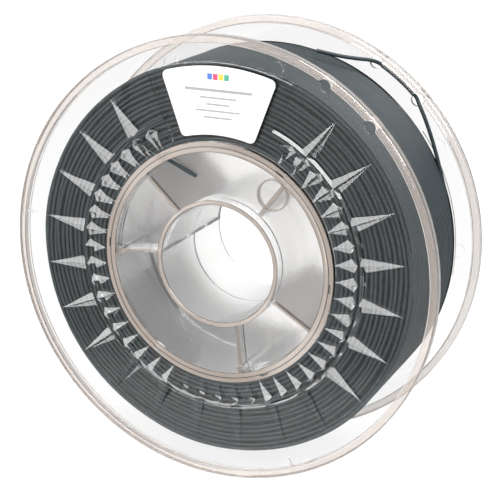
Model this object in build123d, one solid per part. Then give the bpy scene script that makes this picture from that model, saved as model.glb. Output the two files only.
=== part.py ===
"""Full one-kilogram filament spool with clear mouldings, in millimetres.

The spool stands like a wheel. Its axis is Y, the labelled front faces -Y, +Z is up, and the origin is
the centre of the spindle bore, half way through the spool. Angles run from +X towards +Z, as a person
in front of the label sees them. A depth is measured inwards from the front rim face.

The two flange mouldings are one shape: the rear one is the front one turned half round about a line
across the spool, which brings its filament holes behind the front ones. The rear hub moulding is
turned the same way. It has the front one's ribs, but its bore tube ends flush with its floor.
"""

from build123d import *
import os
from math import cos, radians, sin, tan

os.makedirs("parts", exist_ok=True)

# Overall sizes
SPOOL_RADIUS = 100.0
SPOOL_WIDTH = 69.0
HALF_WIDTH = SPOOL_WIDTH / 2
FLIP_ANGLE = 48.0  # the line that the rear mouldings are turned about

# Flange disc, from the rim inwards
RIM_INNER_RADIUS = 96.6
RIM_DEPTH = 5.0
RIM_CHAMFER = 0.4
OUTER_FACE_DEPTH = 2.4
INNER_FACE_DEPTH = 1.3
STEP_OUTER_RADIUS = 67.5
STEP_INNER_RADIUS = 66.4
DISC_DEPTH = 4.4  # the disc's inner face

# Barrel, half of it on each flange, and the hub inside it
BARREL_OUTER_RADIUS = 54.5
BARREL_INNER_RADIUS = 52.35
HUB_FACE_DEPTH = 1.0
HUB_OUTER_RADIUS = 52.3
HUB_INNER_RADIUS = 50.0
REAR_HUB_RECESS = 7.0  # how deep the rear hub's floor, webs and bore tube all lie
BORE_RADIUS = 26.75
BORE_WALL = 2.0
BORE_OUTER_RADIUS = BORE_RADIUS + BORE_WALL
BORE_CHAMFER = 0.5

# Floor and webs of the hub
FLOOR_DEPTH = 6.5
FLOOR_THICKNESS = 1.8
WEB_THICKNESS = 1.8
SIDE_WEB_DEPTH = 2.5
SIDE_WEB_OFFSET = 6.3
SIDE_WEB_ANGLES = (184.0, 272.0)  # the two walls of the hub's open sector
RADIAL_WEB_ANGLES = (132.0, 48.0, -36.0)
POST_RADIUS = 1.7
POST_DISTANCE = 48.2
POST_RISE = 0.7  # how far a post stands in front of its web
GATE_WELL_RADIUS = 7.1
GATE_WELL_WALL = 0.6
GATE_WELL_HEIGHT = 1.4
GATE_WELL_DISTANCE = 40.9
GATE_WELL_ANGLE = 49.5

# Lugs of the hub that sit in notches of the barrel
LUG_COUNT = 6
LUG_START_ANGLE = -8.0
LUG_WIDTH = 4.0
LUG_HEIGHT = 0.9
LUG_LENGTH = 2.6
LUG_CLEARANCE = 0.12

# Faceted prisms on the flange's outer side
PITCH_START = 3.0
RAY_PITCH = 15.0
RAY_TIP_RADIUS = 86.0
RAY_WIDE_RADIUS = 67.0
RAY_CREST_RADIUS = 66.6
RAY_FOOT_RADIUS = 66.0
RAY_HALF_WIDTH = 3.3
RAY_HEIGHT = 1.25
PRISM_PITCH = 7.5
PRISM_TIP_RADIUS = 55.0
PRISM_WIDE_RADIUS = 63.2
PRISM_CREST_RADIUS = 64.5
PRISM_FOOT_RADIUS = 65.4
PRISM_HALF_WIDTH = 3.3
PRISM_HEIGHT = 1.2
RIDGE_ROOT = 0.15  # how far a ridge is sunk into the face it stands on

# Flat pad that carries the label, and the marks beside it
PAD_START_ANGLE = 63.2
PAD_END_ANGLE = 107.8
PAD_RADIUS = 88.4
PAD_RIB_WIDTH = 0.5
PAD_RIB_HEIGHT = 0.3
WITNESS_MARKS = ((89.6, 100.1), (91.4, 68.9))
WITNESS_RADIUS = 3.2
WITNESS_WALL = 0.35
WITNESS_HEIGHT = 0.25
RIM_RIB_ANGLES = (168.0, 288.0)
RIM_RIB_RADIUS = 92.6
RIM_RIB_WIDTH = 0.9
RIM_RIB_HEIGHT = 1.2

# Holes that the filament's ends go through
TIE_HOLE_RADIUS = 3.0
TIE_HOLE_DISTANCE = 95.8
TIE_HOLE_ANGLES = (40.5, 55.5)
START_HOLE_RADIUS = 1.25

# Label
LABEL_THICKNESS = 0.2
LABEL_OUTER_RADIUS = 87.0
LABEL_INNER_RADIUS = 57.6
LABEL_CENTRE_ANGLE = 85.3
LABEL_TOP_WIDTH = 53.6
LABEL_FOOT_WIDTH = 33.2
LABEL_CORNER_RADIUS = 2.6

# Filament
FILAMENT_DIAMETER = 1.75
WINDING_CLEARANCE = 0.2
WINDING_OUTER_RADIUS = 88.4
WINDING_INNER_RADIUS = BARREL_OUTER_RADIUS + 0.1
TAIL_SEAT_WIDTH = 2.1
TAIL_SEAT_DEPTH = 1.9
TAIL_SEAT_START = 5.0
TAIL_SEAT_END = 40.0


def across(radius, angle, depth):
    """The point at a radius and an angle round the axis, and a depth behind the front rim face."""
    turn = radians(angle)
    return (radius * cos(turn), depth - HALF_WIDTH, radius * sin(turn))


def ring(outline):
    """A solid turned about the axis from an outline of (radius, depth) points."""
    points = [(radius, depth - HALF_WIDTH) for radius, depth in outline]
    return revolve(make_face(Polyline(*points, close=True)), Axis.Y)


def tube(inner, outer, near, far):
    return ring([(inner, near), (outer, near), (outer, far), (inner, far)])


def turned(shape, angle):
    """The shape turned from +X to an angle round the axis."""
    return Rot(0, -angle, 0) * shape


def block(near_radius, far_radius, width, near, far):
    """A block that lies along +X, between two radii and two depths."""
    size = (far_radius - near_radius, far - near, width)
    return Pos((near_radius + far_radius) / 2, (near + far) / 2 - HALF_WIDTH, 0) * Box(*size)


def pin(radius, distance, angle, near, far):
    """A round pin parallel to the axis."""
    place = Pos(*across(distance, angle, (near + far) / 2))
    return place * (Rot(90, 0, 0) * Cylinder(radius, far - near))


def sector(radius, start, end, near, far):
    """A slice of a disc, from one angle to another."""
    reach = 2 * radius
    steps = 4
    corners = [(0.0, 0.0)]
    for step in range(steps + 1):
        turn = radians(start + (end - start) * step / steps)
        corners.append((reach * cos(turn), reach * sin(turn)))
    # The XZ plane faces -Y, so an extrusion by -amount goes inwards from the front
    face = Plane.XZ.offset(HALF_WIDTH - near) * make_face(Polyline(*corners, close=True))
    return extrude(face, -(far - near)) & tube(0.0, radius, near, far)


def ridge(tip, wide, crest, foot, half_width, base, height):
    """A kite-shaped prism along +X: two long slopes and two short steep ones that meet at its crest."""
    spread = (height + RIDGE_ROOT) / height  # the root's outline is larger than the one at the base
    outline = [(tip, 0.0), (wide, half_width), (foot, 0.0), (wide, -half_width)]
    root = base + RIDGE_ROOT - HALF_WIDTH
    corners = [(crest + (x - crest) * spread, root, z * spread) for x, z in outline]
    top = (crest, base - height - HALF_WIDTH, 0.0)
    faces = [Face(Wire.make_polygon(corners, close=True))]
    for index, corner in enumerate(corners):
        following = corners[(index + 1) % len(corners)]
        faces.append(Face(Wire.make_polygon([corner, following, top], close=True)))
    return Solid(Shell(faces)).fix()


def beside_pad(angle):
    """Whether a prism at this angle stands clear of the label's pad."""
    return not PAD_START_ANGLE - 1 < angle % 360 < PAD_END_ANGLE + 1


def ridges():
    """The long rays and the short prisms, all but those that the label's pad takes the place of."""
    shapes = []
    ray = ridge(
        RAY_TIP_RADIUS,
        RAY_WIDE_RADIUS,
        RAY_CREST_RADIUS,
        RAY_FOOT_RADIUS,
        RAY_HALF_WIDTH,
        OUTER_FACE_DEPTH,
        RAY_HEIGHT,
    )
    for index in range(round(360 / RAY_PITCH)):
        angle = PITCH_START + index * RAY_PITCH
        if beside_pad(angle):
            shapes.append(turned(ray, angle))
    prism = ridge(
        PRISM_TIP_RADIUS,
        PRISM_WIDE_RADIUS,
        PRISM_CREST_RADIUS,
        PRISM_FOOT_RADIUS,
        PRISM_HALF_WIDTH,
        INNER_FACE_DEPTH,
        PRISM_HEIGHT,
    )
    for index in range(round(360 / PRISM_PITCH)):
        angle = PITCH_START + index * PRISM_PITCH
        if beside_pad(angle):
            shapes.append(turned(prism, angle))
    return shapes


def start_hole():
    """The hole that the filament's first end goes through, in the barrel and in the hub."""
    axis_start = Vector(*START_ROUTE[0])
    axis_end = Vector(*START_ROUTE[1])
    plane = Plane(axis_start, z_dir=axis_end - axis_start)
    return extrude(plane * Circle(START_HOLE_RADIUS), (axis_end - axis_start).length, both=True)


def flange():
    """One flange moulding: the disc with its rim and prisms, and half of the barrel."""
    body = ring(
        [
            (BARREL_INNER_RADIUS, HUB_FACE_DEPTH),
            (BARREL_OUTER_RADIUS, HUB_FACE_DEPTH),
            (BARREL_OUTER_RADIUS, INNER_FACE_DEPTH),
            (STEP_INNER_RADIUS, INNER_FACE_DEPTH),
            (STEP_OUTER_RADIUS, OUTER_FACE_DEPTH),
            (RIM_INNER_RADIUS, OUTER_FACE_DEPTH),
            (RIM_INNER_RADIUS, RIM_CHAMFER),
            (RIM_INNER_RADIUS + RIM_CHAMFER, 0.0),
            (SPOOL_RADIUS - RIM_CHAMFER, 0.0),
            (SPOOL_RADIUS, RIM_CHAMFER),
            (SPOOL_RADIUS, RIM_DEPTH - RIM_CHAMFER),
            (SPOOL_RADIUS - RIM_CHAMFER, RIM_DEPTH),
            (RIM_INNER_RADIUS, RIM_DEPTH),
            (RIM_INNER_RADIUS, DISC_DEPTH),
            (BARREL_OUTER_RADIUS, DISC_DEPTH),
            (BARREL_OUTER_RADIUS, HALF_WIDTH),
            (BARREL_INNER_RADIUS, HALF_WIDTH),
        ]
    )
    pad = sector(PAD_RADIUS, PAD_START_ANGLE, PAD_END_ANGLE, INNER_FACE_DEPTH, DISC_DEPTH - 0.5)
    body += pad - tube(0.0, STEP_INNER_RADIUS - 0.5, 0.0, SPOOL_WIDTH)
    body = body.fuse(*ridges())
    rib = block(
        BARREL_OUTER_RADIUS + 0.5,
        PAD_RADIUS - 0.5,
        PAD_RIB_WIDTH,
        INNER_FACE_DEPTH - PAD_RIB_HEIGHT,
        INNER_FACE_DEPTH + 0.3,
    )
    extras = [turned(rib, PAD_START_ANGLE + 0.5), turned(rib, PAD_END_ANGLE - 0.5)]
    for distance, angle in WITNESS_MARKS:
        top = OUTER_FACE_DEPTH - WITNESS_HEIGHT
        mark = pin(WITNESS_RADIUS, distance, angle, top, OUTER_FACE_DEPTH + 0.2)
        extras.append(mark - pin(WITNESS_RADIUS - WITNESS_WALL, distance, angle, 0.0, DISC_DEPTH))
    stiffener = block(
        RIM_RIB_RADIUS,
        RIM_INNER_RADIUS + 0.5,
        RIM_RIB_WIDTH,
        OUTER_FACE_DEPTH - RIM_RIB_HEIGHT,
        OUTER_FACE_DEPTH + 0.2,
    )
    for angle in RIM_RIB_ANGLES:
        extras.append(turned(stiffener, angle))
    body = body.fuse(*extras)
    notch = block(
        BARREL_INNER_RADIUS - 1.0,
        HUB_OUTER_RADIUS + LUG_HEIGHT + LUG_CLEARANCE,
        LUG_WIDTH + 2 * LUG_CLEARANCE,
        HUB_FACE_DEPTH - 1.0,
        HUB_FACE_DEPTH + LUG_LENGTH + LUG_CLEARANCE,
    )
    cuts = [turned(notch, angle) for angle in lug_angles()]
    for angle in TIE_HOLE_ANGLES:
        cuts.append(pin(TIE_HOLE_RADIUS, TIE_HOLE_DISTANCE, angle, -1.0, RIM_DEPTH + 1.0))
    cuts.append(start_hole())
    return body.cut(*cuts)


def lug_angles():
    return [LUG_START_ANGLE + 360 / LUG_COUNT * index for index in range(LUG_COUNT)]


def side_web(angle, side, near):
    """A web beside the open sector, with the post at its end. It runs outwards at an angle, off the
    centre by its offset."""
    reach = (BORE_OUTER_RADIUS * 0.9, HUB_INNER_RADIUS + 0.5)
    web = block(*reach, WEB_THICKNESS, near, HALF_WIDTH)
    web += pin(POST_RADIUS, POST_DISTANCE, 0.0, near - POST_RISE, HALF_WIDTH)
    return turned(Pos(0, 0, side * SIDE_WEB_OFFSET) * web, angle)


def open_sector(near, far):
    """The space between the two side webs, where the hub has no floor."""
    first, second = SIDE_WEB_ANGLES
    middle = radians((first + second) / 2)
    corner = SIDE_WEB_OFFSET / sin(radians((second - first) / 2))
    wedge = sector(2 * HUB_OUTER_RADIUS, first, second, near, far)
    return Pos(-corner * cos(middle), 0, -corner * sin(middle)) * wedge


def hub(bore_depth, floor_depth, web_depth):
    """One hub moulding: half of the bore tube, the wall inside the barrel, the floor and the webs."""
    bore = ring(
        [
            (BORE_RADIUS + BORE_CHAMFER, bore_depth),
            (BORE_OUTER_RADIUS, bore_depth),
            (BORE_OUTER_RADIUS, HALF_WIDTH),
            (BORE_RADIUS, HALF_WIDTH),
            (BORE_RADIUS, bore_depth + BORE_CHAMFER),
        ]
    )
    wall = tube(HUB_INNER_RADIUS, HUB_OUTER_RADIUS, HUB_FACE_DEPTH, HALF_WIDTH)
    reach = (BORE_OUTER_RADIUS - 0.5, HUB_INNER_RADIUS + 0.5)
    floor = tube(*reach, floor_depth, floor_depth + FLOOR_THICKNESS)
    floor -= open_sector(0.0, HALF_WIDTH)
    webs = [side_web(SIDE_WEB_ANGLES[0], -1, web_depth), side_web(SIDE_WEB_ANGLES[1], 1, web_depth)]
    radial = block(*reach, WEB_THICKNESS, floor_depth + FLOOR_THICKNESS / 2, HALF_WIDTH)
    for angle in RADIAL_WEB_ANGLES:
        webs.append(turned(radial, angle))
    body = bore + wall
    body = body.fuse(floor, *webs)
    well = pin(
        GATE_WELL_RADIUS,
        GATE_WELL_DISTANCE,
        GATE_WELL_ANGLE,
        floor_depth - GATE_WELL_HEIGHT,
        floor_depth + 0.3,
    )
    well -= pin(
        GATE_WELL_RADIUS - GATE_WELL_WALL, GATE_WELL_DISTANCE, GATE_WELL_ANGLE, 0.0, HALF_WIDTH
    )
    lug = block(
        HUB_OUTER_RADIUS - 0.5,
        HUB_OUTER_RADIUS + LUG_HEIGHT,
        LUG_WIDTH,
        HUB_FACE_DEPTH,
        HUB_FACE_DEPTH + LUG_LENGTH,
    )
    body = body.fuse(well, *[turned(lug, angle) for angle in lug_angles()])
    body -= tube(0.0, BORE_RADIUS, -1.0, HALF_WIDTH + 1.0)
    return body - start_hole()


def label():
    """The label: a flat sticker with two arcs and two straight sides, and rounded corners."""
    top = LABEL_TOP_WIDTH / 2
    foot = LABEL_FOOT_WIDTH / 2
    top_height = (LABEL_OUTER_RADIUS**2 - top**2) ** 0.5
    foot_height = (LABEL_INNER_RADIUS**2 - foot**2) ** 0.5
    outline = [
        ThreePointArc((-top, top_height), (0, LABEL_OUTER_RADIUS), (top, top_height)),
        Line((top, top_height), (foot, foot_height)),
        ThreePointArc((foot, foot_height), (0, LABEL_INNER_RADIUS), (-foot, foot_height)),
        Line((-foot, foot_height), (-top, top_height)),
    ]
    face = make_face(Curve() + outline)
    face = fillet(face.vertices(), LABEL_CORNER_RADIUS)
    sheet = Plane.XZ.offset(HALF_WIDTH - INNER_FACE_DEPTH) * face
    # The outline stands upright, at 90 degrees, before it is turned to the label's place
    return turned(extrude(sheet, LABEL_THICKNESS), LABEL_CENTRE_ANGLE - 90)


def winding():
    """The wound filament as one closed ring, with a seat at the rear edge for its last turn."""
    near = DISC_DEPTH + WINDING_CLEARANCE
    far = SPOOL_WIDTH - DISC_DEPTH - WINDING_CLEARANCE
    body = tube(WINDING_INNER_RADIUS, WINDING_OUTER_RADIUS, near, far)
    seat = tube(
        WINDING_OUTER_RADIUS - TAIL_SEAT_DEPTH, WINDING_OUTER_RADIUS + 2, far - TAIL_SEAT_WIDTH, far + 1
    )
    reach = sector(SPOOL_RADIUS, TAIL_SEAT_START, TAIL_SEAT_END, far - 5, far + 1)
    return body - (seat & reach)


# The first end of the filament, from inside the winding through the walls into the hub, as points
START_DEPTH = 5.55
START_ROUTE = [
    (-28.7, START_DEPTH - HALF_WIDTH, 48.5),
    (-17.0, START_DEPTH - HALF_WIDTH - 0.1, 42.6),
    (-8.8, START_DEPTH - HALF_WIDTH - 0.5, 38.3),
]

# The free end, from the last turn out through one rear hole and back in through the other: for each
# point its distance across, its depth behind the front rim face, and its height
TAIL_POINTS = [
    (87.1, 63.35, 7.62),
    (86.55, 63.35, 13.7),
    (81.4, 63.4, 38.3),
    (77.1, 63.5, 52.6),
    (73.7, 63.5, 61.0),
    (71.3, 67.7, 63.3),
    (64.1, 67.8, 70.7),
    (55.4, 67.7, 77.7),
    (52.4, 63.5, 80.0),
    (46.8, 59.4, 81.2),
    (40.0, 54.2, 83.2),
    (32.6, 48.6, 86.3),
]


def tail_route():
    return [(x, depth - HALF_WIDTH, z) for x, depth, z in TAIL_POINTS]


def strand(route, name):
    """A filament tube along straight runs joined by the largest tangent arcs that they allow."""
    points = [Vector(*point) for point in route]
    radii = []
    for before, corner, after in zip(points, points[1:], points[2:]):
        shorter = min((corner - before).length, (after - corner).length)
        half_turn = radians((corner - before).get_angle(after - corner)) / 2
        radii.append(0.45 * shorter / tan(half_turn))
    print(name, "radii", [round(radius, 1) for radius in radii])
    path = FilletPolyline(*points, radius=radii)
    section = Plane(path @ 0, z_dir=path % 0) * Circle(FILAMENT_DIAMETER / 2)
    solid = sweep(section, path)
    print(name, "length", round(path.length, 2), "volume/length", round(solid.volume / path.length, 3))
    return solid


def rear(shape):
    """The same moulding on the far side: turned half round about a line across the spool."""
    turn = radians(FLIP_ANGLE)
    return shape.rotate(Axis((0, 0, 0), (cos(turn), 0, sin(turn))), 180)


front_flange = flange()
front_hub = hub(HUB_FACE_DEPTH, FLOOR_DEPTH, SIDE_WEB_DEPTH)
rear_hub = hub(REAR_HUB_RECESS, REAR_HUB_RECESS, REAR_HUB_RECESS)
wound = winding()
parts = {
    "front_flange": front_flange,
    "rear_flange": rear(front_flange),
    "front_hub": front_hub,
    "rear_hub": rear(rear_hub),
    "front_label": label(),
    "filament_winding": wound,
    "filament_start": strand(START_ROUTE, "start") - wound,
    "filament_tail": strand(tail_route(), "tail"),
}

for name, shape in parts.items():
    export_step(shape, f"parts/{name}.step")
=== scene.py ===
"""The looks of a full filament spool: clear mouldings, wound strands, a label and a studio."""

from math import cos, pi, radians, sin, tau

import bmesh
import bpy
from bpy.props import FloatProperty, FloatVectorProperty, IntProperty, PointerProperty
from mathutils import Matrix, Vector, noise


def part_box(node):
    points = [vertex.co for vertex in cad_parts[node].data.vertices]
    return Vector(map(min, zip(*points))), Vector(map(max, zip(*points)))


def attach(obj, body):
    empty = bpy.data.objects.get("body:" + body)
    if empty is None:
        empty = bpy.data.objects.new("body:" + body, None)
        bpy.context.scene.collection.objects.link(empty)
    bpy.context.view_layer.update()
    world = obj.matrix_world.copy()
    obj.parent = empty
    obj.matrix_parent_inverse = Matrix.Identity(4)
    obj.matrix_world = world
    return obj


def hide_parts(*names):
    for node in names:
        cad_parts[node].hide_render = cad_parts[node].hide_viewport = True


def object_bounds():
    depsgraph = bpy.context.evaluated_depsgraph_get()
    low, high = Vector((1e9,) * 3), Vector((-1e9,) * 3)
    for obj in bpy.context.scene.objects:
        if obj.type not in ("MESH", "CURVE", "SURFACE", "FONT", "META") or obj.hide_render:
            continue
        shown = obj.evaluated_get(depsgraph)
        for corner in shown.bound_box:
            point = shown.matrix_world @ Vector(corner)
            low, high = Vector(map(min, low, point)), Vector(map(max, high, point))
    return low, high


bl_info = {
    "name": "Filament Spool",
    "version": (1, 0, 0),
    "blender": (4, 5, 0),
    "location": "3D View > Sidebar > Spool",
    "description": "Builds the wound strands, clear mouldings, label and studio of a filament spool",
    "category": "Object",
}

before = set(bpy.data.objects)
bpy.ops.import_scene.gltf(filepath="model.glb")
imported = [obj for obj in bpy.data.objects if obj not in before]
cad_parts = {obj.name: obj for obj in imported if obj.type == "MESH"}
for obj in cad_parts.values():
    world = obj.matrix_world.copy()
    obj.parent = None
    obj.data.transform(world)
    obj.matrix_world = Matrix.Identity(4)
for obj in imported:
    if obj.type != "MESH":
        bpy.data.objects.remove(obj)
CAD_BOX = [list(corner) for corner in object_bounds()]
HALF_WIDTH = CAD_BOX[1][1]
WINDING_LOW, WINDING_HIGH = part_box("filament_winding")
MM = 0.001

# The free end's route, the same as the solid's, in metres
TAIL_ROUTE = [
    (0.0871, 0.02885, 0.00762),
    (0.08655, 0.02885, 0.0137),
    (0.0814, 0.0289, 0.0383),
    (0.0771, 0.0290, 0.0526),
    (0.0737, 0.0290, 0.0610),
    (0.0713, 0.0332, 0.0633),
    (0.0641, 0.0333, 0.0707),
    (0.0554, 0.0332, 0.0777),
    (0.0524, 0.0290, 0.0800),
    (0.0468, 0.0249, 0.0812),
    (0.0400, 0.0197, 0.0832),
    (0.0326, 0.0141, 0.0863),
]
# The first end, from the winding through the two walls into the hub
START_ROUTE = [
    (-0.0262, -0.0290, 0.0472),
    (-0.0170, -0.02905, 0.0426),
    (-0.0088, -0.02945, 0.0383),
]


# The measures below, as far as the stage, are in millimetres and degrees.
# Where a wall is seen end on: inner and outer radius, depth from the rim face, how milky it is
FLANGE_END_RINGS = [(52.3, 54.6, 1.25, 0.75), (96.5, 100.2, 5.1, 0.35)]
HUB_END_RINGS = [(26.7, 28.8, 1.8, 0.75), (28.8, 49.95, 2.75, 0.5), (49.95, 52.35, 1.2, 0.75)]
# Width of the dark line painted along a wall's edges, painted shade standing in for the refraction
# there
PAINTED_EDGE_SHADE_WIDTH = 0.25
# The hub's floor: inner and outer radius, and its two depths from the rim face
HUB_FLOOR = (29.0, 49.8, 6.4, 8.4)
TUBE_MOUTH = 2.0
# The hub's radial webs: their angles, the radii they run between and half their thickness
WEB_ANGLES = (132.0, 48.0, -36.0)
WEB_RADII = (28.8, 49.9)
WEB_HALF = 0.92
# The round collars on the hub's floors: angle and side of each, distance from the axis, radii, depth
WELLS = ((49.5, -1), (46.5, 1))
WELL_DISTANCE = 40.9
WELL_RADII = (6.4, 7.15)
WELL_DEPTH = 26.0
# How milky the webs and the collars are, and how dark the painted shade on the collars' edges is
WEB_SHARE = 0.55
WELL_SHARE = 0.7
WELL_PAINTED_EDGE_SHADE = 0.6
# The label's bars: middle, height, half width and half height
BARS = [
    (0.0, 76.6, 15.6, 0.6),
    (0.0, 73.4, 8.6, 0.38),
    (0.0, 70.6, 5.4, 0.38),
    (0.0, 67.8, 10.2, 0.38),
    (0.0, 65.0, 6.6, 0.38),
]
# The label's colour patches: middle and colour, then the height and half size of them all
PATCHES = [
    (-3.9, (0.03, 0.1, 0.4)),
    (-1.3, (0.45, 0.03, 0.09)),
    (1.3, (0.6, 0.36, 0.02)),
    (3.9, (0.03, 0.24, 0.15)),
]
PATCH_HEIGHT = 82.4
PATCH_HALF_SIZE = (1.1, 1.3)
INNER_TURNS_RADIUS = 54.6
OUTER_SLACK = 0.12
TURN_SWAY = 0.12
CORE_GROOVE = 0.3
MERGE_WITHIN = 0.002

# The stage, in metres: each softbox has a place and a size, and the floor glows behind its edge
FRONT_SOFTBOX = ((-0.55, -1.3, 0.5), (2.6, 1.15))
TOP_SOFTBOX = ((0.9, -0.2, 1.1), (1.4, 1.4))
FLOOR_RADIUS = 6.0
FLOOR_GAP = 0.0002
FLOOR_GLOW_EDGE = (-0.2, -0.1)
CAMERA_PLACE = (0.2631, -0.5618, 0.1714)
CAMERA_RIGHT = (0.91151, 0.40704, -0.05876)
CAMERA_UP = (-0.05876, 0.27032, 0.96097)
CAMERA_BACK = (0.40704, -0.87249, 0.27032)
CAMERA_LENS = 101.69

STYRENE_IOR = 1.59
FILAMENT_IOR = 1.45
RING_SIDES = 8
CORE_STEPS = 160
CORE_CUTS = 15


# ---------------------------------------------------------------- shader building


class Wire:
    """A value in a finish's node tree. Arithmetic on it adds Math nodes."""

    def __init__(self, finish, socket):
        self.finish = finish
        self.socket = socket

    def _math(self, operation, *values):
        return self.finish.node("ShaderNodeMath", {"operation": operation}, dict(enumerate(values)))

    def __add__(self, other):
        return self._math("ADD", self, other)

    def __sub__(self, other):
        return self._math("SUBTRACT", self, other)

    def __rsub__(self, other):
        return self._math("SUBTRACT", other, self)

    def __mul__(self, other):
        return self._math("MULTIPLY", self, other)

    def __pow__(self, other):
        return self._math("POWER", self, other)

    def __abs__(self):
        return self._math("ABSOLUTE", self)

    def __lt__(self, other):
        return self._math("LESS_THAN", self, other)

    def __gt__(self, other):
        return self._math("GREATER_THAN", self, other)

    __radd__ = __add__
    __rmul__ = __mul__


class Finish:
    """A material, or the surround of the studio, and its node tree."""

    def __init__(self, name, kind=None):
        self.material = (bpy.data.materials if kind is None else kind).new(name)
        self.material.use_nodes = True
        self.tree = self.material.node_tree
        self.tree.nodes.clear()

    def node(self, kind, settings=None, inputs=None, output=0):
        """Adds a node, sets it up, fills its sockets with values or wires, and gives one output."""
        made = self.tree.nodes.new(kind)
        for key, value in (settings or {}).items():
            setattr(made, key, value)
        for key, value in (inputs or {}).items():
            if isinstance(value, Wire):
                self.tree.links.new(value.socket, made.inputs[key])
            else:
                made.inputs[key].default_value = value
        return Wire(self, made.outputs[output])

    def place(self):
        """The piece's own coordinates, in metres."""
        return self.node("ShaderNodeTexCoord", output="Object")

    def parts_of(self, vector):
        """The three numbers of a vector."""
        made = self.tree.nodes.new("ShaderNodeSeparateXYZ")
        self.tree.links.new(vector.socket, made.inputs[0])
        return [Wire(self, socket) for socket in made.outputs]

    def rise(self, value, low, high):
        """A smooth step from 0 at the low value to 1 at the high one."""
        return self.node(
            "ShaderNodeMapRange",
            {"interpolation_type": "SMOOTHSTEP"},
            {0: value, 1: low, 2: high},
        )

    def grain(self, vector, scale, detail):
        """A noise from 0 to 1."""
        return self.node(
            "ShaderNodeTexNoise", inputs={"Vector": vector, "Scale": scale, "Detail": detail}
        )

    def between(self, amount, low, high):
        """A colour between two colours."""
        return self.node(
            "ShaderNodeMix",
            {"data_type": "RGBA"},
            {"Factor": amount, 6: low, 7: high},
            output=2,
        )

    def bumps(self, height, distance, strength):
        """A normal that follows a height."""
        return self.node(
            "ShaderNodeBump", inputs={"Height": height, "Distance": distance, "Strength": strength}
        )

    def surface(self, shader):
        """Puts a shader on the tree's output, and gives the finished material or surround."""
        world = isinstance(self.material, bpy.types.World)
        made = self.tree.nodes.new("ShaderNodeOutputWorld" if world else "ShaderNodeOutputMaterial")
        self.tree.links.new(shader.socket, made.inputs["Surface"])
        return self.material

    def shader(self, **sockets):
        """A Principled shader. A socket's name is written with underscores."""
        named = {key.replace("_", " "): value for key, value in sockets.items()}
        return self.node("ShaderNodeBsdfPrincipled", inputs=named)


def rgba(colour, share=1.0):
    """A colour with full alpha, made darker or lighter by a share."""
    return (*[part * share for part in tuple(colour)[:3]], 1.0)


def within(value, low, high):
    """1 where a value in metres lies between two measures in millimetres, and 0 elsewhere."""
    return (value > low * MM) * (value < high * MM)


def clear_plastic(name, tint, haze, roughness, end_rings, frosted=None, webs=(), wells=()):
    """Clear moulded plastic, which lets the lamps through to what is behind it.

    An end ring is where a wall is seen end on, between two radii and down to a depth from the rim
    face. The long way through the wall makes it milky and warm there, by the share that comes last,
    with a darker line along both its edges: painted shade, standing in for the refraction at the
    edges. The frosted part is a floor between two radii and two depths, and the tube inside it. A
    web is milky too, with the same painted shade along its sides, and a well is a low collar on the
    floor, whose end is painted darker all over.
    """
    finish = Finish(name)
    place = finish.place()
    flow = finish.grain(place, 45.0, 2.0)
    fine = finish.grain(place, 420.0, 1.0)
    across, depth, up = finish.parts_of(place)
    radius = (across * across + up * up) ** 0.5
    inwards = HALF_WIDTH - abs(depth)
    dull = fine * 0.03 + roughness
    if frosted:
        inner, outer, near, far = frosted
        floor = within(radius, inner, outer) * within(inwards, near, far)
        tube = (radius < inner * MM) * (inwards > TUBE_MOUTH * MM)
        dull = floor * 0.16 + tube * 0.14 + dull
    plastic = finish.shader(
        Base_Color=finish.between(flow, rgba(tint, 0.985), rgba(tint)),
        Roughness=dull,
        IOR=STYRENE_IOR,
        Transmission_Weight=1.0 - haze,
        Coat_Weight=0.6,
        Coat_Roughness=0.02,
        Normal=finish.bumps(flow, 0.0004, 0.12),
    )
    mask = 0.0
    edge = 0.0
    for inner, outer, reach, share in end_rings:
        ring = within(radius, inner, outer) * (inwards < reach * MM)
        mask = ring * share + mask
        # Painted shade: a dark line along both edges of the end ring, standing in for the refraction
        # there
        line = (radius < (inner + PAINTED_EDGE_SHADE_WIDTH) * MM) + (radius > (outer - PAINTED_EDGE_SHADE_WIDTH) * MM)
        edge = ring * line + edge
    for angle in webs:
        along = across * cos(radians(angle)) + up * sin(radians(angle))
        aside = abs(up * cos(radians(angle)) - across * sin(radians(angle)))
        web = (along > WEB_RADII[0] * MM) * (radius < WEB_RADII[1] * MM) * (aside < WEB_HALF * MM)
        mask = web * WEB_SHARE + mask
        # Painted shade along the web's sides, as at the end rings
        edge = web * (aside > (WEB_HALF - PAINTED_EDGE_SHADE_WIDTH) * MM) + edge
    for angle, side in wells:
        from_middle_x = across - WELL_DISTANCE * MM * cos(radians(angle))
        from_middle_z = up - WELL_DISTANCE * MM * sin(radians(angle))
        away = (from_middle_x * from_middle_x + from_middle_z * from_middle_z) ** 0.5
        collar = within(away, *WELL_RADII) * (depth * side > WELL_DEPTH * MM)
        mask = collar * WELL_SHARE + mask
        # Painted shade over the whole end of the collar
        edge = collar * WELL_PAINTED_EDGE_SHADE + edge
    cream = finish.between(flow, (0.34, 0.29, 0.255, 1.0), (0.45, 0.39, 0.345, 1.0))
    # The milky cream goes towards near black where the edge shade is painted
    milky = finish.shader(
        Base_Color=finish.between(edge * 0.8, cream, (0.07, 0.052, 0.042, 1.0)),
        Roughness=0.25,
        Transmission_Weight=0.35,
        IOR=STYRENE_IOR,
    )
    plastic = finish.node("ShaderNodeMixShader", inputs={0: mask, 1: plastic, 2: milky})
    lamp = finish.node("ShaderNodeLightPath", output="Is Shadow Ray")
    open_way = finish.node("ShaderNodeBsdfTransparent", inputs={"Color": (0.9, 0.91, 0.92, 1.0)})
    plastic = finish.node("ShaderNodeMixShader", inputs={0: lamp, 1: plastic, 2: open_way})
    return finish.surface(plastic)


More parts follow.
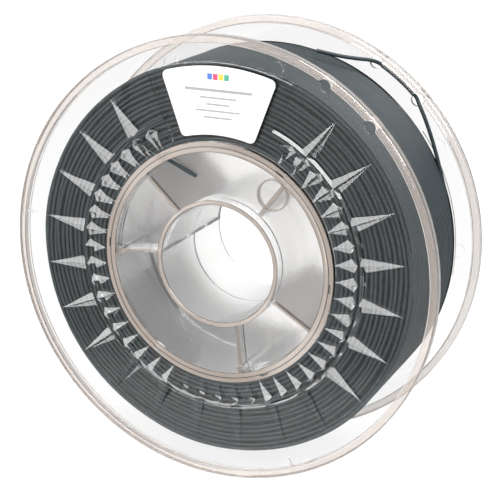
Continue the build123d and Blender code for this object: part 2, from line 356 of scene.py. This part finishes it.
def strand_plastic(name, colour, roughness, groove_shade_painted=False):
    """Extruded filament: dark, smooth, with slight changes of shade along and across the turns.

    When the shade in the grooves is painted, turns darken away from their crown, which is 1 where they
    are nearest to the flange: painted shade between the turns. A piece with no crown is painted dark
    all over.
    """
    finish = Finish(name)
    place = finish.place()
    broad = finish.grain(place, 60.0, 2.0)
    fine = finish.grain(place, 900.0, 2.0)
    shade = broad * 0.7 + fine * 0.3
    plastic = finish.shader(
        Base_Color=finish.between(shade, rgba(colour, 0.8), rgba(colour, 1.2)),
        Roughness=fine * 0.12 + roughness,
        IOR=FILAMENT_IOR,
        Specular_IOR_Level=0.25,
        Normal=finish.bumps(fine, 0.00004, 0.3),
    )
    if groove_shade_painted:
        crown = finish.node("ShaderNodeAttribute", {"attribute_name": "crown"}, output="Fac")
        lit = finish.rise(crown, 0.4, 0.95)
        # Painted shade: an eighth of the filament's colour, dull and without shine, put where a turn
        # lies away from the flange
        painted_shade_in_grooves = finish.shader(
            Base_Color=rgba(colour, 0.12), Roughness=0.9, Specular_IOR_Level=0.05
        )
        plastic = finish.node("ShaderNodeMixShader", inputs={0: lit, 1: painted_shade_in_grooves, 2: plastic})
    return finish.surface(plastic)


def label_film(name, paper, ink, turn):
    """White film with plain grey bars and a small row of colour patches."""
    finish = Finish(name)
    place = finish.place()
    upright = finish.node(
        "ShaderNodeMapping",
        {"vector_type": "POINT"},
        {"Vector": place, "Rotation": (0, turn, 0)},
    )
    across, _, up = finish.parts_of(upright)
    fibre = finish.grain(place, 700.0, 3.0)
    colour = finish.between(fibre, rgba(paper, 0.97), rgba(paper))

    def patch(middle, height, half_width, half_height):
        inside = abs(across - middle * MM) < half_width * MM
        return inside * (abs(up - height * MM) < half_height * MM)

    mask = patch(*BARS[0])
    for bar in BARS[1:]:
        mask = mask + patch(*bar)
    colour = finish.between(mask * 0.6, colour, rgba(ink))
    for middle, shade in PATCHES:
        inside = patch(middle, PATCH_HEIGHT, *PATCH_HALF_SIZE)
        colour = finish.between(inside, colour, rgba(shade))
    return finish.surface(
        finish.shader(
            Base_Color=colour,
            Roughness=fibre * 0.1 + 0.35,
            Normal=finish.bumps(fibre, 0.00003, 0.3),
        )
    )


def floor_paint(name, colour):
    """A pale floor that shines under and behind the spool and is dull in front of it."""
    finish = Finish(name)
    place = finish.place()
    soft = finish.grain(place, 2.0, 2.0)
    shining = finish.rise(finish.parts_of(place)[1], *FLOOR_GLOW_EDGE)
    return finish.surface(
        finish.shader(
            Base_Color=finish.between(soft, rgba(colour, 0.99), rgba(colour)),
            Roughness=0.9,
            Emission_Color=finish.between(shining, (0.12, 0.12, 0.12, 1), (1, 1, 1, 1)),
            Emission_Strength=0.88,
        )
    )


# ---------------------------------------------------------------- shape building


def piece_from(mesh_tools, name, material, smooth=True):
    """Makes an object of a finished bmesh, and frees it."""
    mesh = bpy.data.meshes.new(name)
    for face in mesh_tools.faces:
        face.smooth = smooth
    mesh_tools.to_mesh(mesh)
    mesh_tools.free()
    mesh.materials.append(material)
    made = bpy.data.objects.new(name, mesh)
    bpy.context.scene.collection.objects.link(made)
    return made


def moulding_from(node, name, material, crease):
    """A merged, smooth-shaded copy of a clear moulding, which stands for its node."""
    made = bpy.data.objects.new(name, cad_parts[node].data.copy())
    bpy.context.scene.collection.objects.link(made)
    tools = bmesh.new()
    tools.from_mesh(made.data)
    bmesh.ops.remove_doubles(tools, verts=tools.verts, dist=MERGE_WITHIN * MM)
    for face in tools.faces:
        face.smooth = True
    for edge in tools.edges:
        edge.smooth = edge.calc_face_angle(pi) < crease
    tools.to_mesh(made.data)
    tools.free()
    if "custom_normal" in made.data.attributes:
        made.data.attributes.remove(made.data.attributes["custom_normal"])
    made.data.materials.clear()
    made.data.materials.append(material)
    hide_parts(node)
    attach(made, "root")


def turn_round(tools, steps):
    """Turns a section once about the spool's axis, into a closed skin."""
    bmesh.ops.spin(
        tools,
        geom=tools.edges[:],
        cent=(0, 0, 0),
        axis=(0, 1, 0),
        angle=tau,
        steps=steps,
        use_merge=True,
    )
    bmesh.ops.recalc_face_normals(tools, faces=tools.faces)


def rings(centres, radius, steps):
    """Round-sectioned rings about the spool's axis, one for each (radius, depth) centre."""
    tools = bmesh.new()
    for distance, depth in centres:
        place = Matrix.Translation((distance, depth, 0)) @ Matrix.Rotation(pi / RING_SIDES, 4, "Z")
        bmesh.ops.create_circle(tools, segments=RING_SIDES, radius=radius, matrix=place)
    turn_round(tools, steps)
    return tools


def wander(tools, shift):
    """Moves each vertex by what shift(radius, depth, direction) gives: a radial and an axial move."""
    for vertex in tools.verts:
        x, depth, z = vertex.co
        radius = (x * x + z * z) ** 0.5
        outward = Vector((x / radius, 0, z / radius))
        radial, axial = shift(radius, depth, outward)
        vertex.co += outward * radial + Vector((0, axial, 0))


def ramp(value, low, high):
    """A smooth step from 0 to 1."""
    share = min(1.0, max(0.0, (value - low) / (high - low)))
    return share * share * (3 - 2 * share)


# ---------------------------------------------------------------- settings


class SpoolStrandSettings(bpy.types.PropertyGroup):
    diameter: FloatProperty(
        name="Diameter",
        description="Diameter of the filament",
        default=0.00175,
        unit="LENGTH",
        precision=5,
    )
    layers: IntProperty(name="Layers", description="Turns that show at each flange", default=16, min=2)
    turns: IntProperty(name="Turns", description="Turns across one layer", default=34, min=2)
    steps: IntProperty(name="Steps", description="Divisions of one turn", default=240, min=32)
    colour: FloatVectorProperty(
        name="Colour",
        description="Colour of the filament",
        default=(0.0150, 0.0215, 0.0245),
        subtype="COLOR",
    )
    roughness: FloatProperty(name="Roughness", description="How dull the filament is", default=0.33)


class SpoolPlasticSettings(bpy.types.PropertyGroup):
    tint: FloatVectorProperty(
        name="Tint",
        description="Colour of the flanges' plastic",
        default=(0.968, 0.966, 0.965),
        subtype="COLOR",
    )
    hub_tint: FloatVectorProperty(
        name="Hub tint",
        description="Colour of the hub's plastic",
        default=(0.957, 0.95, 0.943),
        subtype="COLOR",
    )
    haze: FloatProperty(name="Haze", description="Share of light the plastic scatters", default=0.0)
    hub_haze: FloatProperty(name="Hub haze", description="The same for the hub", default=0.012)
    roughness: FloatProperty(name="Roughness", description="How dull the mouldings are", default=0.02)
    crease: FloatProperty(
        name="Crease",
        description="Edges sharper than this stay sharp",
        default=radians(7),
        subtype="ANGLE",
    )


class SpoolLabelSettings(bpy.types.PropertyGroup):
    paper: FloatVectorProperty(
        name="Film",
        description="Colour of the label's film",
        default=(0.52, 0.52, 0.52),
        subtype="COLOR",
    )
    ink: FloatVectorProperty(
        name="Ink",
        description="Colour of the label's bars",
        default=(0.03, 0.03, 0.035),
        subtype="COLOR",
    )
    turn: FloatProperty(
        name="Turn",
        description="How far the label is turned from upright",
        default=radians(-4.7),
        subtype="ANGLE",
    )


class SpoolStageSettings(bpy.types.PropertyGroup):
    floor: FloatVectorProperty(
        name="Floor", description="Colour of the floor", default=(0.12, 0.12, 0.12), subtype="COLOR"
    )
    front_light: FloatProperty(
        name="Front light",
        description="Power of the front softbox",
        default=52.0,
        unit="POWER",
    )
    top_light: FloatProperty(
        name="Top light",
        description="Power of the overhead softbox",
        default=52.0,
        unit="POWER",
    )
    ambient: FloatProperty(name="Ambient", description="Even light from all round", default=0.6)
    dark_side: FloatProperty(
        name="Dark side",
        description="Brightness of the wall behind the camera",
        default=0.05,
    )


class SpoolSettings(bpy.types.PropertyGroup):
    strand: PointerProperty(type=SpoolStrandSettings)
    plastic: PointerProperty(type=SpoolPlasticSettings)
    label: PointerProperty(type=SpoolLabelSettings)
    stage: PointerProperty(type=SpoolStageSettings)


# ---------------------------------------------------------------- operators


class SPOOL_OT_stage(bpy.types.Operator):
    """Sets up the camera, the softboxes, the surround and the pale floor"""

    bl_idname = "spool.stage"
    bl_label = "Stage"

    def execute(self, context):
        settings = context.scene.spool.stage
        self.camera(context)
        self.softbox("front_softbox", *FRONT_SOFTBOX, settings.front_light)
        self.softbox("top_softbox", *TOP_SOFTBOX, settings.top_light)
        self.floor(settings)
        self.surround(context, settings)
        return {"FINISHED"}

    @staticmethod
    def camera(context):
        lens = bpy.data.cameras.new("camera")
        lens.sensor_width = 36.0
        lens.lens = CAMERA_LENS
        lens.clip_start = 0.01
        camera = bpy.data.objects.new("camera", lens)
        context.scene.collection.objects.link(camera)
        turn = Matrix((CAMERA_RIGHT, CAMERA_UP, CAMERA_BACK)).transposed().to_4x4()
        camera.matrix_world = Matrix.Translation(CAMERA_PLACE) @ turn
        context.scene.camera = camera

    @staticmethod
    def softbox(name, place, size, power):
        light = bpy.data.lights.new(name, "AREA")
        light.shape = "RECTANGLE"
        light.size, light.size_y = size
        light.energy = power
        made = bpy.data.objects.new(name, light)
        bpy.context.scene.collection.objects.link(made)
        made.location = place
        made.rotation_euler = (-Vector(place)).to_track_quat("-Z", "Y").to_euler()

    @staticmethod
    def floor(settings):
        tools = bmesh.new()
        place = Matrix.Translation((0, 0, CAD_BOX[0][2] - FLOOR_GAP))
        bmesh.ops.create_circle(
            tools, cap_ends=True, segments=96, radius=FLOOR_RADIUS, matrix=place
        )
        made = piece_from(tools, "floor", floor_paint("floor_paint", settings.floor), smooth=False)
        made.visible_glossy = False

    @staticmethod
    def surround(context, settings):
        room = Finish("surround", bpy.data.worlds)
        _, away, up = room.parts_of(room.node("ShaderNodeTexCoord", output="Generated"))
        behind = room.rise(away, -0.7, 0.3)
        above = room.rise(up, 0.1, 0.9)
        glossy = room.node("ShaderNodeLightPath", output="Is Glossy Ray")
        through = room.node("ShaderNodeLightPath", output="Is Transmission Ray")
        seen = room.node("ShaderNodeLightPath", output="Is Camera Ray")
        # A refracted ray counts as glossy too
        bounced = glossy * (1 - through)
        plain = 1 - bounced - through - seen
        mirrored = behind * 0.75 + above * 0.3 + settings.dark_side
        refracted = behind * 0.3 + 0.35
        strength = seen + bounced * mirrored + through * refracted + plain * settings.ambient
        context.scene.world = room.surface(
            room.node("ShaderNodeBackground", inputs={"Color": (1, 1, 1, 1), "Strength": strength})
        )
        context.scene.view_settings.view_transform = "Standard"


class SPOOL_OT_filament_ends(bpy.types.Operator):
    """Makes the free end that is threaded through the rear flange, and the first end in the hub"""

    bl_idname = "spool.filament_ends"
    bl_label = "Filament ends"

    def execute(self, context):
        settings = context.scene.spool.strand
        material = strand_plastic("loose_filament", settings.colour, settings.roughness)
        tail = self.strand("filament_tail_strand", TAIL_ROUTE, settings.diameter, material)
        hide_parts("filament_tail")
        start = self.strand("filament_start_strand", START_ROUTE, settings.diameter, material)
        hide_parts("filament_start")
        for piece in (tail, start):
            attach(piece, "root")
        return {"FINISHED"}

    @staticmethod
    def strand(name, route, diameter, material):
        curve = bpy.data.curves.new(name, "CURVE")
        curve.dimensions = "3D"
        curve.bevel_depth = diameter / 2
        curve.bevel_resolution = 4
        curve.use_fill_caps = True
        curve.resolution_u = 12
        spline = curve.splines.new("NURBS")
        spline.points.add(len(route) - 1)
        for point, place in zip(spline.points, route):
            point.co = (*place, 1.0)
        spline.order_u = 3
        spline.use_endpoint_u = True
        curve.materials.append(material)
        made = bpy.data.objects.new(name, curve)
        bpy.context.scene.collection.objects.link(made)
        return made


class SPOOL_OT_windings(bpy.types.Operator):
    """Winds the strands: both faces, the outer layer, the inner layer and the core under them, painted
    dark as shade
    """

    bl_idname = "spool.windings"
    bl_label = "Windings"

    def execute(self, context):
        settings = context.scene.spool.strand
        material = strand_plastic("wound_filament", settings.colour, settings.roughness)
        self.half = settings.diameter / 2
        self.near = WINDING_LOW.y + self.half
        self.far = WINDING_HIGH.y - self.half
        self.outer = WINDING_HIGH.x - self.half
        self.inner = INNER_TURNS_RADIUS * MM + self.half
        self.layer = (self.outer - self.inner) / (settings.layers - 1)
        self.turn = (self.far - self.near) / (settings.turns - 1)
        self.settings = settings
        # The face turns and the core take the finish with painted shade in the grooves
        groove_shade_painted = strand_plastic("face_filament_painted_shade", settings.colour, settings.roughness, groove_shade_painted=True)
        self.face("front_turns", self.near, 1, groove_shade_painted)
        self.face("rear_turns", self.far, -1, groove_shade_painted)
        outer = self.layer_at("outer_turns", self.outer, OUTER_SLACK * MM, 5.0, material)
        self.layer_at("inner_turns", self.inner, 0.0, 9.0, material)
        self.core(groove_shade_painted)
        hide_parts("filament_winding")
        return {"FINISHED"}

    @staticmethod
    def finish_piece(tools, name, material):
        """Makes a piece of filament of a finished bmesh."""
        made = piece_from(tools, name, material)
        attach(made, "root")
        return made

    def face(self, name, depth, inward, material):
        """The turns against one flange: each wanders in and out, and dips away from the flange."""
        settings = self.settings
        centres = [(self.inner + index * self.layer, depth) for index in range(settings.layers)]
        tools = rings(centres, self.half, settings.steps)
        # The crown, 1 where a turn is nearest the flange, sets where the painted shade falls
        crown = tools.verts.layers.float.new("crown")
        for vertex in tools.verts:
            vertex[crown] = inward * (depth - vertex.co.y) / self.half
        seed = 11.0 if inward > 0 else 47.0

        def shift(radius, place, outward):
            index = round((radius - self.inner) / self.layer)
            together = noise.noise(outward * 1.6 + Vector((seed, 0, 0)))
            alone = noise.noise(outward * 2.4 + Vector((seed, index * 6.2, 0)))
            ripple = noise.noise(outward * 7.0 + Vector((seed, index * 10.6, 4.0)))
            edge = ramp(index, -1, 2) * ramp(settings.layers - 1 - index, -1, 1)
            radial = (together * 0.5 + alone * 0.8 + ripple * 0.1) * MM * edge
            dip = noise.noise(outward * 2.0 + Vector((seed + 9, index * 4.6, 7.0)))
            axial = inward * (0.03 + 0.6 * ramp(dip, 0.12, 0.45)) * MM
            return radial, axial

        wander(tools, shift)
        return self.finish_piece(tools, name, material)

    def layer_at(self, name, radius, slack, seed, material):
        """One layer of turns side by side."""
        settings = self.settings
        centres = [(radius, self.near + index * self.turn) for index in range(settings.turns)]
        tools = rings(centres, self.half, settings.steps)

        def shift(distance, place, outward):
            index = round((place - self.near) / self.turn)
            alone = noise.noise(outward * 1.7 + Vector((seed, index * 1.3, 0)))
            lift = noise.noise(outward * 2.3 + Vector((seed, index * 2.7, 5)))
            edge = ramp(index, 0, 1) * ramp(settings.turns - 1 - index, 0, 1)
            return -slack * (0.5 + lift), alone * TURN_SWAY * MM * edge

        wander(tools, shift)
        return self.finish_piece(tools, name, material)

    def core(self, material):
        """The turns that lie deeper, as one ring with grooves that closes the gaps between the others,
        painted dark all over as the shade between the turns.
        """
        low = self.inner + self.half * 0.9
        high = self.outer - self.half * 0.9
        near = self.near + self.half * 1.3
        far = self.far - self.half * 1.3
        tools = bmesh.new()
        corners = [(low, near), (high, near), (high, far), (low, far)]
        verts = [tools.verts.new((radius, depth, 0)) for radius, depth in corners]
        for index in range(4):
            tools.edges.new((verts[index], verts[(index + 1) % 4]))
        bmesh.ops.subdivide_edges(tools, edges=tools.edges[:], cuts=CORE_CUTS)
        for index, vertex in enumerate(tools.verts):
            if index % 2:
                outward = 1 if vertex.co.x > (low + high) / 2 else -1
                vertex.co.x += outward * CORE_GROOVE * MM
        turn_round(tools, CORE_STEPS)
        return self.finish_piece(tools, "wound_core", material)


class SPOOL_OT_mouldings(bpy.types.Operator):
    """Finishes the two flanges and the two hub halves in clear plastic"""

    bl_idname = "spool.mouldings"
    bl_label = "Clear mouldings"

    def execute(self, context):
        settings = context.scene.spool.plastic
        look = (settings.tint, settings.haze, settings.roughness)
        flange = clear_plastic("clear_flange", *look, FLANGE_END_RINGS)
        look = (settings.hub_tint, settings.hub_haze, settings.roughness)
        hub = clear_plastic("clear_hub", *look, HUB_END_RINGS, HUB_FLOOR, WEB_ANGLES, WELLS)
        for node in ("front_flange", "rear_flange"):
            moulding_from(node, node + "_clear", flange, settings.crease)
        for node in ("front_hub", "rear_hub"):
            moulding_from(node, node + "_clear", hub, settings.crease)
        return {"FINISHED"}


class SPOOL_OT_label(bpy.types.Operator):
    """Prints the label on the front flange with plain bars and colour patches"""

    bl_idname = "spool.label"
    bl_label = "Label"

    def execute(self, context):
        settings = context.scene.spool.label
        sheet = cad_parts["front_label"]
        material = label_film("label_film", settings.paper, settings.ink, settings.turn)
        sheet.data.materials.clear()
        sheet.data.materials.append(material)
        return {"FINISHED"}


class SPOOL_PT_panel(bpy.types.Panel):
    """Lists the spool's pieces and their settings"""

    bl_idname = "SPOOL_PT_panel"
    bl_label = "Filament spool"
    bl_space_type = "VIEW_3D"
    bl_region_type = "UI"
    bl_category = "Spool"

    def draw(self, context):
        settings = context.scene.spool
        for group in (settings.strand, settings.plastic, settings.label, settings.stage):
            box = self.layout.box()
            for key in group.bl_rna.properties.keys():
                if key not in ("rna_type", "name"):
                    box.prop(group, key)
        for operator in OPERATORS:
            self.layout.operator(operator.bl_idname)


OPERATORS = (
    SPOOL_OT_stage,
    SPOOL_OT_filament_ends,
    SPOOL_OT_windings,
    SPOOL_OT_mouldings,
    SPOOL_OT_label,
)
CLASSES = (
    SpoolStrandSettings,
    SpoolPlasticSettings,
    SpoolLabelSettings,
    SpoolStageSettings,
    SpoolSettings,
    *OPERATORS,
    SPOOL_PT_panel,
)


def register():
    for item in CLASSES:
        bpy.utils.register_class(item)
    bpy.types.Scene.spool = PointerProperty(type=SpoolSettings)


def unregister():
    del bpy.types.Scene.spool
    for item in reversed(CLASSES):
        bpy.utils.unregister_class(item)


def main():
    register()
    bpy.ops.spool.stage()
    bpy.ops.spool.filament_ends()
    bpy.ops.spool.windings()
    bpy.ops.spool.mouldings()
    bpy.ops.spool.label()


if __name__ == "__main__":
    main()
